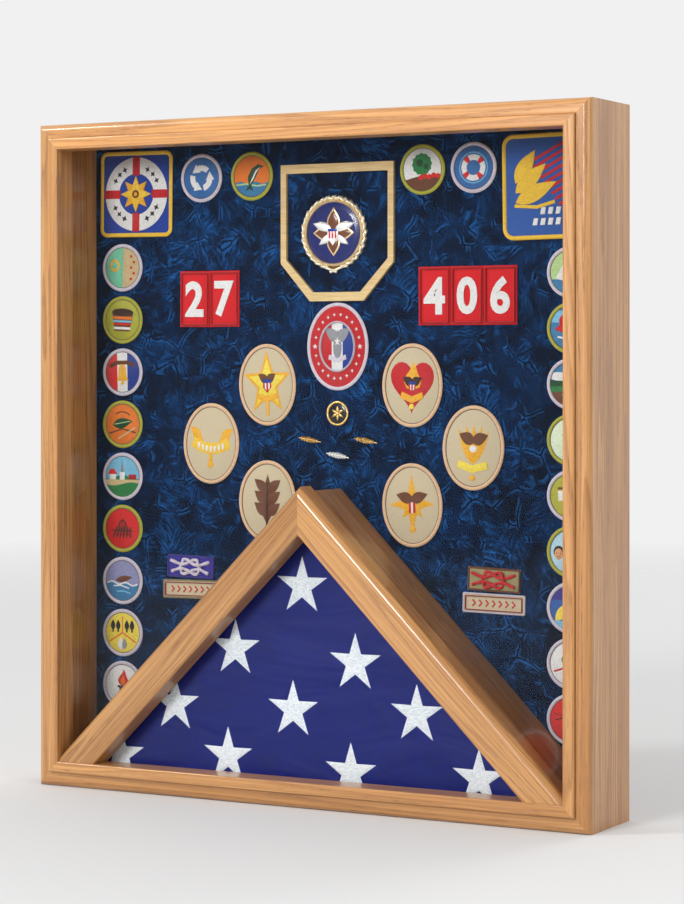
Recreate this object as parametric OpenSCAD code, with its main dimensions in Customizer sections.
// Folded flag display case: a mitred oak box with a glazed front, a velvet display
// board for patches and pins, and a triangular compartment for a folded flag.
// X is the width, the glass looks towards -Y, Z is up. The origin is the middle of
// the bounding box in X and Y, on the surface that the case stands on.

/* [Case] */
// Outside width of the case
case_w = 484; // [440:1:700]
// Outside height of the case
case_h = 532; // [500:1:760]
// Depth from the face of the lip to the back edges of the walls
case_d = 76; // [62:1:120]
// Thickness of the four wall boards
wall_t = 11.5; // [9:0.5:16]
// Radius of the rounded outer front edge of the walls
wall_round = 5.2; // [2:0.1:6]
// Radius of the inner front edge of the walls
wall_inner_round = 0.8; // [0.3:0.1:1.5]
// Width of the rebate behind the walls that the back fits in
rebate_w = 3; // [2:0.5:3.5]
// Clearance between the back pieces and the rebate
back_clear = 0.5; // [0.2:0.1:1]

/* [Front frame] */
// Width of the lip moulding seen from the front
lip_w = 9; // [6:0.5:14]
// Depth of the lip moulding
lip_d = 22; // [16:0.5:30]
// How far the lip stands in front of the walls
lip_proud = 3; // [1:0.5:5]
// Radius on the front edges of the lip
lip_round = 1.3; // [0.5:0.1:2.5]
// Thickness of the glass
glass_t = 2.4; // [2:0.1:4]
// Clearance between the glass and the wood around it
glass_clear = 0.2; // [0.1:0.1:0.5]
// Width of the strips that hold the glass
stop_w = 3; // [2:0.5:5]
// Depth of the strips that hold the glass
stop_d = 6; // [4:0.5:10]

/* [Flag compartment] */
// Thickness of the two sloping boards
flag_board_t = 11.5; // [8:0.5:14]
// Width of the sloping mouldings
mould_w = 26.5; // [20:0.5:34]
// How far the mouldings stand above the sloping boards
mould_over = 2.8; // [0.5:0.1:5]
// How far the mouldings lie behind the face of the lip
mould_set_back = 1.6; // [0.5:0.1:4]
// Radius of the upper front edge of the mouldings
mould_round = 6; // [2:0.5:8]
// Radius of the lower front edge of the mouldings
mould_small_round = 2; // [0.5:0.5:4]
// Gap left round the folded flag
flag_gap = 1; // [0.5:0.5:4]
// Radius of the folded edges of the flag
flag_round = 4; // [2:0.5:8]

/* [Back] */
// Thickness of the velvet
velvet_t = 1; // [0.6:0.1:2]
// Thickness of the display board under the velvet
board_t = 3; // [2:0.5:6]
// Thickness of the back panel
panel_t = 2.5; // [2:0.5:6]
// Length of a turn button
turn_l = 24; // [18:1:36]
// Width of a turn button
turn_w = 7; // [5:0.5:8]
// Thickness of a turn button
turn_t = 1.2; // [0.8:0.1:2]
// Play of a turn button under its screw head and over the wood
turn_play = 0.3; // [0.2:0.05:0.5]
// Distance of the lower side turn buttons from the bottom
turn_from_end = 128; // [60:1:200]
// Gap between a hanger strap and the reach of the turn button below it
turn_gap = 6; // [2:1:40]
// Radius of a screw's shank
screw_r = 1.4; // [1:0.1:2]
// Radius of a screw's head
head_r = 2.4; // [2:0.1:3.2]
// Height of a screw's head
head_h = 1.6; // [1:0.1:2.4]
// Depth of a screw in the wood
screw_depth = 12; // [8:1:20]
// Clearance round a screw in its pilot hole
screw_clear = 0.03; // [0.01:0.01:0.1]
// Running clearance round a pivot
pivot_clear = 0.08; // [0.02:0.01:0.1]
// Height of the rubber bumpers
bumper_h = 5; // [4.5:0.5:8]
// Radius of the rubber bumpers
bumper_r = 4; // [3:0.1:4.2]
// Distance of a bumper from the side of the case
bumper_from_side = 34; // [14:1:80]

/* [Hangers] */
// Distance of the hanger pivots from the top
hang_from_top = 88; // [60:1:104]
// Distance of the hangers from the side of the case
hang_from_side = 6.1; // [5.5:0.1:9]
// Width of a hanger strap
strap_w = 5; // [4:0.5:7]
// Length of a hanger strap below its eye
strap_l = 28; // [26:1:40]
// Thickness of a hanger strap
strap_t = 1; // [0.8:0.1:1.2]
// Radius of the wire of a hanger ring
ring_r = 0.7; // [0.5:0.05:0.8]
// Straight length of the sides of a hanger ring
ring_side = 6; // [5:0.5:9]
// Play of the ring beside the strap
ring_play = 0.35; // [0.3:0.05:0.5]

/* [Fasteners in the frame] */
// Width of a corner nail
nail_w = 5; // [3:0.5:6]
// Depth of a corner nail
nail_d = 8; // [5:1:12]
// Thickness of a corner nail
nail_t = 0.5; // [0.3:0.1:0.8]
// Radius of a lip brad
brad_r = 0.6; // [0.4:0.1:0.8]
// Length of a lip brad
brad_l = 20; // [15:1:22]
// Lean of a lip brad towards the wall
brad_lean = 28; // [20:1:30]
// Distance of the outer brads from the corners
brad_from_corner = 66; // [40:1:90]

/* [Patches and pins] */
// Diameter of a round badge
badge_d = 39; // [32:0.5:48]
// Thickness of a sewn patch
patch_t = 1.6; // [1:0.1:3]
// Badges in each column, where there is room
column_n = 9; // [3:1:14]
// Least gap between the badges of a column
badge_gap = 1; // [0.5:0.1:8]
// Gap between a square patch and the badge below it
column_drop = 5.5; // [2:0.5:12]
// Height of the lowest left badge above where it meets the sloping board
left_lift = 10.5; // [0.5:0.5:30]
// Height of the lowest right badge above where it meets the sloping board
right_lift = 1; // [0.5:0.5:30]
// Distance of the left column's centre from the wall
left_inset = 26.5; // [24:0.5:40]
// Distance of the right column's centre from the wall
right_inset = 33; // [24:0.5:40]
// Size of the left square patch
square_l = 70; // [50:1:80]
// Size of the right square patch
square_r = 80; // [50:1:90]
// Distance of the square patches from the top wall
square_drop = 7; // [3:1:20]
// Distance of the left square patch from the wall
square_l_inset = 5; // [2:0.5:15]
// Distance of the right square patch from the wall
square_r_inset = 9.5; // [2:0.5:15]
// Distance of the top badges' centres from the top wall
row_drop = 31; // [24:1:50]
// Badges on each side of the top row, where there is room
row_count = 2; // [1:1:4]
// Width of one number tile
tile_w = 28; // [18:1:32]
// Height of one number tile
tile_h = 45; // [30:1:50]
// Distance of the number tiles' centres from the top wall
tile_drop = 128.5; // [110:1:150]
// Width of an oval patch
oval_w = 52.5; // [40:0.5:58]
// Height of an oval patch
oval_h = 65; // [50:0.5:70]
// Width of the centre badge
centre_w = 55; // [40:1:64]
// Height of the centre badge
centre_h = 69; // [50:1:76]
// Width of a knot patch
knot_w = 45; // [30:1:50]
// Height of a knot patch
knot_h = 19; // [12:0.5:24]
// Width of a strip patch
strip_w = 53; // [36:1:58]
// Height of a strip patch
strip_h = 15.5; // [10:0.5:20]
// Diameter of the round pin
pin_d = 20; // [14:1:24]
// Length of a leaf pin
leaf_l = 20; // [14:1:26]
// Height of a leaf pin
leaf_h = 6; // [4:0.5:8]
// Thickness of the pins
pin_t = 1.8; // [1:0.1:3]
// Sideways shift of the middle group
group_x = -2; // [-6:0.5:6]

/* [Medallion] */
// Width of the shield-shaped mat
mat_w = 101; // [84:1:108]
// Height of the shield-shaped mat
mat_h = 108; // [90:1:114]
// Width of the mat's lower edge
mat_foot_w = 48; // [30:1:60]
// Height of the mat's sloping corners
mat_slope_h = 30; // [20:1:36]
// Width of the mat's border at the top and the bottom
mat_border = 7; // [4:0.5:10]
// Width of the mat's border at the sides
mat_side = 5; // [4:0.5:10]
// Thickness of the mat
mat_t = 3; // [2:0.5:6]
// Distance of the mat from the top wall
mat_drop = 23.5; // [10:0.5:30]
// Sideways shift of the medallion in the mat
medal_shift = -3; // [-5:0.5:5]
// Outside width of the wreath
wreath_w = 66; // [50:1:76]
// Outside height of the wreath
wreath_h = 68; // [54:1:80]
// Width of the wreath's band
wreath_band = 9; // [6:0.5:12]
// Thickness of the wreath
wreath_t = 4; // [2:0.5:6]
// Thickness of the medallion's disc
disc_t = 2.6; // [1:0.2:4]
// Gap between the disc and the wreath
disc_gap = 0.4; // [0.2:0.1:1]

/* [Hidden] */
$fn = 64;

OAK = [0.83, 0.64, 0.43];
OAK_DARK = [0.72, 0.53, 0.34];
STEEL = [0.72, 0.73, 0.75];
BRASS = [0.80, 0.66, 0.36];
NAVY = [0.05, 0.12, 0.28];
TAN = [0.74, 0.65, 0.48];
RED = [0.80, 0.10, 0.12];
LILAC = [0.72, 0.72, 0.82];
OLIVE = [0.50, 0.52, 0.18];
GOLD = [0.83, 0.66, 0.30];

// Depth levels, from the front to the back
y_lip = -(case_d + bumper_h) / 2;
y_wall = y_lip + lip_proud;
y_mould = y_lip + mould_set_back;
y_glass = y_lip + lip_d + glass_clear;
y_glass_back = y_glass + glass_t;
y_inside = y_glass_back + glass_clear;
y_back = y_lip + case_d;
y_panel = y_back - panel_t;
y_board = y_panel - board_t;
y_velvet = y_board - velvet_t;

// Openings, measured from the middle of the case and from the floor
board_apex = case_w / 2;
inner_half = case_w / 2 - wall_t;
inner_top = case_h - wall_t;
sight_half = inner_half - lip_w;
sight_bottom = wall_t + lip_w;
edge_w = wall_t - rebate_w;

// The sloping boards rise at 45 degrees from the outer lower corners to their peak
diag = sqrt(2);
mould_apex = board_apex + mould_over * diag;
flag_apex = board_apex - (flag_board_t + flag_gap) * diag;
flag_base = wall_t + flag_gap;

// Hangers and turn buttons stand on the back edges of the walls
edge_mid = case_w / 2 - edge_w / 2;
hang_x = case_w / 2 - hang_from_side;
hang_z = case_h - hang_from_top;

// Where the turn buttons are: [x, z, direction that the tail points in]
turn_high = hang_z - strap_l - turn_gap - turn_l;
TURNS = [
  [-edge_mid, turn_high, 0], [-edge_mid, turn_from_end, 0],
  [edge_mid, turn_high, 180], [edge_mid, turn_from_end, 180],
  [0, case_h - edge_w / 2, -90], [0, edge_w / 2, 90]
];
turn_hole_r = screw_r + pivot_clear;

// Hanger ring: a straight bar, two sides and a round end
eye_r = ring_r + pivot_clear;
eye_wall = 0.9;
ring_mid = strap_w / 2 + ring_play + ring_r;
eye_y = y_back + strap_t + turn_play + ring_r;
strap_screw_1 = ring_side + ring_mid + ring_r + head_r + 0.6;
strap_screw_2 = strap_l - head_r - 0.6;

// Square patches and the columns of badges under them
square_l_x = -inner_half + square_l_inset + square_l / 2;
square_r_x = inner_half - square_r_inset - square_r / 2;
square_top = inner_top - square_drop;
left_x = -inner_half + left_inset;
right_x = inner_half - right_inset;
left_first = square_top - square_l - column_drop - badge_d / 2;
right_first = square_top - square_r - column_drop - badge_d / 2;

// Centre of the lowest badge of a column at x, lifted off the sloping board
function column_foot(x, lift) = board_apex - abs(x) + badge_d / 2 * diag + lift;
function column_fit(room) = min(column_n, floor(room / (badge_d + badge_gap)) + 1);

// Top row: the badges share the room between a square patch and the mat
mat_top = inner_top - mat_drop;
mat_foot = mat_top - mat_h;
function row_fit(room) = min(row_count, floor(room / badge_d));
function row_x(from, to, n, i) =
  from + (i + 1) * (to - from - n * badge_d) / (n + 1) + (i + 0.5) * badge_d;
row_l_from = square_l_x + square_l / 2;
row_l_to = group_x - mat_w / 2;
row_r_from = group_x + mat_w / 2;
row_r_to = square_r_x - square_r / 2;
row_l_n = row_fit(row_l_to - row_l_from);
row_r_n = row_fit(row_r_to - row_r_from);

// Number tiles: they share the room between the mat and the columns
tile_z = inner_top - tile_drop;
tiles_l = 2;
tiles_r = 3;
column_edge_l = left_x + badge_d / 2;
column_edge_r = right_x - badge_d / 2;
tile_share_l = 0.52;
tile_share_r = 0.46;
room_l = row_l_to - column_edge_l - tiles_l * tile_w;
room_r = column_edge_r - row_r_from - tiles_r * tile_w;
tile_x_l = row_l_to - tile_share_l * room_l - tiles_l * tile_w / 2;
tile_x_r = row_r_from + tile_share_r * room_r + tiles_r * tile_w / 2;

// Oval patches: two in a column beside the middle, one further out between them
oval_x = 0.282 * inner_half;
oval_out_x = oval_x + oval_w;
oval_touch = sqrt(oval_w * oval_w + oval_h * oval_h) / 2;
oval_low = board_apex - oval_x + oval_touch;
oval_high = mat_foot - oval_h / 2;
oval_slack = oval_high - oval_low - oval_h;
oval_z3 = oval_low + 0.16 * oval_slack;
oval_z1 = oval_low + oval_h + 0.54 * oval_slack;
oval_out_low = board_apex - oval_out_x + oval_touch;
oval_out_high = tile_z - tile_h / 2 - oval_h / 2;
oval_z2 = oval_out_low + 0.64 * (oval_out_high - oval_out_low);
OVALS = [
  [-oval_x, oval_z1], [oval_x, oval_z1], [-oval_out_x, oval_z2],
  [oval_out_x, oval_z2], [-oval_x, oval_z3], [oval_x, oval_z3]
];

// Middle stack: centre badge, round pin and leaf pins share the room above the flag
stack_room = mat_foot - board_apex - centre_h - pin_d - 2 * leaf_h - 6;
centre_z = mat_foot - 0.03 * stack_room - centre_h / 2;
pin_z = centre_z - centre_h / 2 - 0.20 * stack_room - pin_d / 2;
leaf_z = pin_z - pin_d / 2 - 0.20 * stack_room - leaf_h / 2;
leaf_low_z = leaf_z - leaf_h - 6;
leaf_x = leaf_l + 5;

// Knot and strip patches, above the sloping boards
strip_x = 0.59 * inner_half;
strip_z = board_apex - (strip_x - strip_w / 2) + 17 + strip_h / 2;
knot_z = strip_z + strip_h / 2 + 1 + knot_h / 2;

// ---- shared shapes ----

// Box between two corners
module block(low, high) {
  translate(low) cube(high - low);
}

// A rectangle with two rounded front corners: x inward, y backward
module section(w, d, r_out, r_in) {
  difference() {
    square([w, d]);
    difference() {
      translate([-1, -1]) square(r_out + 1);
      translate([r_out, r_out]) circle(r_out);
    }
    difference() {
      translate([w - r_in, -1]) square(r_in + 1);
      translate([w - r_in, r_in]) circle(r_in);
    }
  }
}

// Bottom piece of a mitred ring: outside width w, thickness t, lower face at z = 0
module mitred_bottom(w, t) {
  intersection() {
    rotate([0, -90, 0]) linear_extrude(w, center = true) children();
    translate([0, case_d, 0]) rotate([90, 0, 0]) linear_extrude(2 * case_d)
      polygon([[-w / 2, 0], [w / 2, 0], [w / 2 - t, t], [t - w / 2, t]]);
  }
}

// Left piece of a mitred ring w wide and h high, standing on z = 0
module mitred_left(w, h, t) {
  intersection() {
    translate([-w / 2, 0, 0]) linear_extrude(h) children();
    translate([-w / 2, case_d, 0]) rotate([90, 0, 0]) linear_extrude(2 * case_d)
      polygon([[0, 0], [t, t], [t, h - t], [0, h]]);
  }
}

// Turns a bottom piece of a ring h high into its top piece
module to_top(h) {
  translate([0, 0, h]) mirror([0, 0, 1]) children();
}

// A right-hand sloping piece, cut at the middle, at x_max and at z_min
module right_slope(apex, x_max, z_min, y0, y1) {
  intersection() {
    translate([0, 0, apex]) rotate([0, 45, 0]) mirror([0, 0, 1]) rotate([0, -90, 0])
      linear_extrude(3 * case_w, center = true) children();
    block([0, y0, z_min], [x_max, y1, case_h]);
  }
}

// Lays a flat shape on the velvet at x, z, with t standing forward
module on_velvet(x, z, t) {
  translate([x, y_velvet, z]) rotate([90, 0, 0]) linear_extrude(t) children();
}

// Ellipse with full width w and full height h
module oval(w, h) {
  polygon([for (a = [0 : 7.5 : 352.5]) [w / 2 * cos(a), h / 2 * sin(a)]]);
}

// Rectangle with round corners
module round_rect(w, h, r) {
  union() {
    square([w - 2 * r, h], center = true);
    square([w, h - 2 * r], center = true);
    for (sx = [-1, 1], sy = [-1, 1])
      translate([sx * (w / 2 - r), sy * (h / 2 - r)]) circle(r);
  }
}

// Column of round badges that share the room from z = first down to the sloping board
module badge_column(x, first, lift) {
  room = first - column_foot(x, lift);
  n = column_fit(room);
  for (i = [0 : n - 1])
    on_velvet(x, first - i * room / (n - 1), patch_t) circle(badge_d / 2);
}

// Row of number tiles, each a piece of its own
module number_tiles(x, n) {
  for (i = [0 : n - 1])
    on_velvet(x + (i - (n - 1) / 2) * tile_w, tile_z, patch_t)
      square([tile_w - 0.4, tile_h], center = true);
}

// ---- box ----

module wall_section() {
  difference() {
    section(wall_t, case_d - lip_proud, wall_round, wall_inner_round);
    translate([edge_w, y_velvet - y_wall]) square([wall_t, case_d]);
  }
}

// Pilot holes for the screws of the turn buttons and the hangers
module pilot_holes() {
  for (t = TURNS)
    translate([t[0], y_back + 1, t[1]]) rotate([90, 0, 0])
      cylinder(r = screw_r + screw_clear, h = screw_depth + 1);
  for (sx = [-1, 1], d = [strap_screw_1, strap_screw_2])
    translate([sx * hang_x, y_back + 1, hang_z - d]) rotate([90, 0, 0])
      cylinder(r = screw_r + screw_clear, h = screw_depth + 1);
}

module bottom_wall() {
  color(OAK) difference() {
    translate([0, y_wall, 0]) mitred_bottom(case_w, wall_t) wall_section();
    pilot_holes();
  }
}

module top_wall() {
  color(OAK) difference() {
    to_top(case_h) translate([0, y_wall, 0]) mitred_bottom(case_w, wall_t) wall_section();
    pilot_holes();
  }
}

module left_wall() {
  color(OAK) difference() {
    translate([0, y_wall, 0]) mitred_left(case_w, case_h, wall_t) wall_section();
    pilot_holes();
  }
}

module right_wall() {
  color(OAK) difference() {
    mirror([1, 0, 0]) translate([0, y_wall, 0])
      mitred_left(case_w, case_h, wall_t) wall_section();
    pilot_holes();
  }
}

// ---- lip inside the front of the box ----

module lip_section() {
  section(lip_w, lip_d, lip_round, lip_round);
}

module bottom_lip() {
  color(OAK) translate([0, y_lip, wall_t])
    mitred_bottom(2 * inner_half, lip_w) lip_section();
}

module top_lip() {
  color(OAK) translate([0, y_lip, wall_t]) to_top(inner_top - wall_t)
    mitred_bottom(2 * inner_half, lip_w) lip_section();
}

module left_lip() {
  color(OAK) translate([0, y_lip, wall_t])
    mitred_left(2 * inner_half, inner_top - wall_t, lip_w) lip_section();
}

module right_lip() {
  mirror([1, 0, 0]) left_lip();
}

// ---- glass ----

module glass_pane() {
  color([0.8, 0.9, 0.9, 0.3])
    block([glass_clear - inner_half, y_glass, wall_t],
          [inner_half - glass_clear, y_glass_back, inner_top - glass_clear]);
}

module top_glass_stop() {
  color(OAK_DARK)
    block([-inner_half, y_inside, inner_top - stop_w],
          [inner_half, y_inside + stop_d, inner_top]);
}

// Starts just above the sloping board, which reaches the wall at z = wall_t
module left_glass_stop() {
  color(OAK_DARK)
    block([-inner_half, y_inside, wall_t + 2 * stop_w],
          [stop_w - inner_half, y_inside + stop_d, inner_top - stop_w]);
}

module right_glass_stop() {
  mirror([1, 0, 0]) left_glass_stop();
}

// ---- flag compartment ----

module right_flag_moulding() {
  color(OAK) right_slope(mould_apex, sight_half, sight_bottom, y_mould, y_glass - glass_clear)
    translate([0, y_mould])
      section(mould_w, y_glass - glass_clear - y_mould, mould_round, mould_small_round);
}

module left_flag_moulding() {
  mirror([1, 0, 0]) right_flag_moulding();
}

module right_flag_board() {
  color(OAK) right_slope(board_apex, inner_half, wall_t, y_inside, y_velvet)
    translate([0, y_inside]) square([flag_board_t, y_velvet - y_inside]);
}

module left_flag_board() {
  mirror([1, 0, 0]) right_flag_board();
}

// The flag folded to a triangle, with its folded edges rounded
module folded_flag() {
  half = flag_apex - flag_base;
  color([0.16, 0.20, 0.52])
    translate([0, y_velvet - flag_gap, 0]) rotate([90, 0, 0])
      linear_extrude(y_velvet - y_inside - 2 * flag_gap)
        offset(r = flag_round, $fn = 32) offset(delta = -flag_round)
          polygon([[-half, flag_base], [half, flag_base], [0, flag_apex]]);
}

// ---- back ----

module back_sheet(y0, y1) {
  x = inner_half + rebate_w - back_clear;
  z = edge_w + back_clear;
  block([-x, y0, z], [x, y1, case_h - z]);
}

module velvet_cover() {
  color(NAVY) back_sheet(y_velvet, y_board);
}

module display_board() {
  color("peru") back_sheet(y_board, y_panel);
}

module back_panel() {
  color("saddlebrown") back_sheet(y_panel, y_back);
}

// Screw along Y: its head rests at y = 0 and its shank goes to -Y
module screw(depth) {
  rotate([-90, 0, 0]) difference() {
    union() {
      translate([0, 0, -depth]) cylinder(r = screw_r, h = depth + 0.2);
      rotate_extrude()
        polygon([[0, 0], [head_r, 0], [head_r, head_h * 0.55], [head_r * 0.8, head_h],
                 [0, head_h]]);
    }
    for (a = [0, 90]) rotate(a)
      translate([-head_r * 0.6, -0.3, head_h * 0.45]) cube([head_r * 1.2, 0.6, head_h]);
  }
}

// Flat turn button that pivots near one end
module turn_button(i) {
  t = TURNS[i];
  color(BRASS) translate([t[0], y_back + turn_play + turn_t, t[1]]) rotate([90, 0, 0])
    rotate(t[2]) difference() {
      linear_extrude(turn_t) union() {
        circle(turn_w / 2);
        translate([turn_l - turn_w, 0]) circle(turn_w / 2);
        translate([0, -turn_w / 2]) square([turn_l - turn_w, turn_w]);
      }
      translate([0, 0, -1]) cylinder(r = turn_hole_r, h = turn_t + 2);
    }
}

module turn_button_1() { turn_button(0); }
module turn_button_2() { turn_button(1); }
module turn_button_3() { turn_button(2); }
module turn_button_4() { turn_button(3); }
module turn_button_5() { turn_button(4); }
module turn_button_6() { turn_button(5); }

module turn_button_screws() {
  grip = 2 * turn_play + turn_t;
  color(STEEL) for (t = TURNS)
    translate([t[0], y_back + grip, t[1]]) screw(screw_depth + grip);
}

// Rubber bumpers on the back edges of the top and bottom walls
module wall_bumpers() {
  soft = 0.8;
  x = case_w / 2 - bumper_from_side;
  color([0.12, 0.12, 0.12])
    for (sx = [-1, 1], z = [edge_w / 2, case_h - edge_w / 2])
      translate([sx * x, y_back, z]) rotate([-90, 0, 0]) rotate_extrude()
        polygon([[0, 0], [bumper_r, 0], [bumper_r, bumper_h - soft],
                 [bumper_r - soft, bumper_h], [0, bumper_h]]);
}

// ---- hangers ----

module hanger_strap(sx) {
  color(STEEL) translate([sx * hang_x, 0, hang_z]) difference() {
    union() {
      block([-strap_w / 2, y_back, -strap_l + strap_w / 2], [strap_w / 2, y_back + strap_t, 0]);
      translate([0, y_back, -strap_l + strap_w / 2]) rotate([-90, 0, 0])
        cylinder(r = strap_w / 2, h = strap_t);
      translate([-strap_w / 2, eye_y, 0]) rotate([0, 90, 0])
        cylinder(r = eye_r + eye_wall, h = strap_w);
    }
    translate([-strap_w, eye_y, 0]) rotate([0, 90, 0]) cylinder(r = eye_r, h = 2 * strap_w);
    block([-strap_w, y_back - 5, -strap_l], [strap_w, y_back, strap_l]);
    for (d = [strap_screw_1, strap_screw_2])
      translate([0, y_back - 1, -d]) rotate([-90, 0, 0])
        cylinder(r = screw_r + screw_clear, h = strap_t + 2);
  }
}

module left_hanger_strap() { hanger_strap(-1); }
module right_hanger_strap() { hanger_strap(1); }

module hanger_ring(sx) {
  color(STEEL) translate([sx * hang_x, eye_y, hang_z]) union() {
    translate([-ring_mid, 0, 0]) rotate([0, 90, 0]) cylinder(r = ring_r, h = 2 * ring_mid);
    for (s = [-1, 1]) {
      translate([s * ring_mid, 0, 0]) sphere(ring_r);
      translate([s * ring_mid, 0, -ring_side]) cylinder(r = ring_r, h = ring_side);
    }
    translate([0, 0, -ring_side]) rotate([90, 0, 0]) rotate([0, 0, 180])
      rotate_extrude(angle = 180) translate([ring_mid, 0]) circle(ring_r);
  }
}

module left_hanger_ring() { hanger_ring(-1); }
module right_hanger_ring() { hanger_ring(1); }

module hanger_screws() {
  color(STEEL) for (sx = [-1, 1], d = [strap_screw_1, strap_screw_2])
    translate([sx * hang_x, y_back + strap_t, hang_z - d]) screw(screw_depth + strap_t);
}

// ---- nails ----

// One nail across each mitre, flush with the back edges
module corner_nails() {
  mid = edge_w / 2;
  color(STEEL) for (sx = [-1, 1], sz = [0, 1])
    translate([sx * (case_w / 2 - mid), y_back - nail_d / 2, sz == 0 ? mid : case_h - mid])
      rotate([0, sx * (sz == 0 ? -45 : 45), 0])
        cube([nail_w, nail_d, nail_t], center = true);
}

// Brad that starts at the lip's face and leans towards -X
module brad() {
  rotate([0, 0, brad_lean]) rotate([-90, 0, 0]) cylinder(r = brad_r, h = brad_l, $fn = 16);
}

module lip_brads() {
  u = wall_t + 1.8;
  y = y_lip + 0.4;
  color(STEEL) union() {
    for (sx = [0, 1], z = [brad_from_corner, case_h / 2, case_h - brad_from_corner])
      mirror([sx, 0, 0]) translate([u - case_w / 2, y, z]) brad();
    for (sz = [0, 1], x = [brad_from_corner - case_w / 2, 0, case_w / 2 - brad_from_corner])
      translate([x, y, sz * case_h]) mirror([0, 0, sz]) translate([0, 0, u])
        rotate([0, -90, 0]) brad();
  }
}

// ---- medallion ----

// Outline of the mat, made smaller by side at the sides and by border elsewhere
module mat_outline(side, border) {
  w = mat_w / 2 - side;
  foot = mat_foot_w / 2 - border * 0.4;
  polygon([[-w, mat_h - border], [w, mat_h - border], [w, mat_slope_h + border * 0.4],
           [foot, border], [-foot, border], [-w, mat_slope_h + border * 0.4]]);
}

module shield_mat() {
  color(TAN) on_velvet(group_x, mat_foot, mat_t) difference() {
    mat_outline(0, 0);
    mat_outline(mat_side, mat_border);
  }
}

medal_x = group_x + medal_shift;
medal_z = mat_foot + mat_h * 0.495;

module medallion_wreath() {
  color(GOLD) on_velvet(medal_x, medal_z, wreath_t) difference() {
    oval(wreath_w, wreath_h);
    oval(wreath_w - 2 * wreath_band, wreath_h - 2 * wreath_band);
  }
}

module medallion_disc() {
  inset = 2 * (wreath_band + disc_gap);
  color([0.08, 0.15, 0.45]) on_velvet(medal_x, medal_z, disc_t)
    oval(wreath_w - inset, wreath_h - inset);
}

// ---- patches and pins ----

module left_square_patch() {
  color([0.15, 0.25, 0.62]) on_velvet(square_l_x, square_top - square_l / 2, patch_t)
    round_rect(square_l, square_l, 5);
}

module right_square_patch() {
  color([0.12, 0.22, 0.55]) on_velvet(square_r_x, square_top - square_r / 2, patch_t)
    round_rect(square_r, square_r, 8);
}

module top_badges() {
  z = inner_top - row_drop;
  color(OLIVE) union() {
    for (i = [0 : 1 : row_l_n - 1])
      on_velvet(row_x(row_l_from, row_l_to, row_l_n, i), z, patch_t) circle(badge_d / 2);
    for (i = [0 : 1 : row_r_n - 1])
      on_velvet(row_x(row_r_from, row_r_to, row_r_n, i), z, patch_t) circle(badge_d / 2);
  }
}

module left_badges() {
  color(LILAC) badge_column(left_x, left_first, left_lift);
}

module right_badges() {
  color(LILAC) badge_column(right_x, right_first, right_lift);
}

module left_number_tiles() {
  color(RED) number_tiles(tile_x_l, tiles_l);
}

module right_number_tiles() {
  color(RED) number_tiles(tile_x_r, tiles_r);
}

module centre_badge() {
  color(RED) on_velvet(group_x, centre_z, patch_t) oval(centre_w, centre_h);
}

module oval_patch(i) {
  color(TAN) on_velvet(group_x / 2 + OVALS[i][0], OVALS[i][1], patch_t) oval(oval_w, oval_h);
}

module oval_patch_1() { oval_patch(0); }
module oval_patch_2() { oval_patch(1); }
module oval_patch_3() { oval_patch(2); }
module oval_patch_4() { oval_patch(3); }
module oval_patch_5() { oval_patch(4); }
module oval_patch_6() { oval_patch(5); }

module knot_patch(sx) {
  on_velvet(group_x + sx * strip_x, knot_z, patch_t) square([knot_w, knot_h], center = true);
}

module strip_patch(sx) {
  on_velvet(group_x + sx * strip_x, strip_z, patch_t)
    square([strip_w, strip_h], center = true);
}

module left_knot_patch() { color([0.25, 0.20, 0.50]) knot_patch(-1); }
module left_strip_patch() { color(TAN) strip_patch(-1); }
module right_knot_patch() { color(OLIVE) knot_patch(1); }
module right_strip_patch() { color(TAN) strip_patch(1); }

module round_pin() {
  color(BRASS) on_velvet(group_x, pin_z, pin_t) circle(pin_d / 2);
}

// Leaf-shaped pin: where two circles overlap
module leaf() {
  r = (leaf_l * leaf_l / 4 + leaf_h * leaf_h / 4) / leaf_h;
  intersection() {
    translate([0, r - leaf_h / 2]) circle(r);
    translate([0, leaf_h / 2 - r]) circle(r);
  }
}

module leaf_pins() {
  color(BRASS) union() {
    for (sx = [-1, 1]) on_velvet(group_x + sx * leaf_x, leaf_z, pin_t) leaf();
    on_velvet(group_x, leaf_low_z, pin_t) leaf();
  }
}

top_wall();
bottom_wall();
left_wall();
right_wall();
top_lip();
bottom_lip();
left_lip();
right_lip();
left_flag_moulding();
right_flag_moulding();
glass_pane();
top_glass_stop();
left_glass_stop();
right_glass_stop();
left_flag_board();
right_flag_board();
folded_flag();
velvet_cover();
display_board();
back_panel();
turn_button_1();
turn_button_2();
turn_button_3();
turn_button_4();
turn_button_5();
turn_button_6();
turn_button_screws();
left_hanger_strap();
right_hanger_strap();
left_hanger_ring();
right_hanger_ring();
hanger_screws();
wall_bumpers();
corner_nails();
lip_brads();
shield_mat();
medallion_wreath();
medallion_disc();
left_square_patch();
right_square_patch();
top_badges();
left_badges();
right_badges();
left_number_tiles();
right_number_tiles();
centre_badge();
oval_patch_1();
oval_patch_2();
oval_patch_3();
oval_patch_4();
oval_patch_5();
oval_patch_6();
left_knot_patch();
left_strip_patch();
right_knot_patch();
right_strip_patch();
round_pin();
leaf_pins();
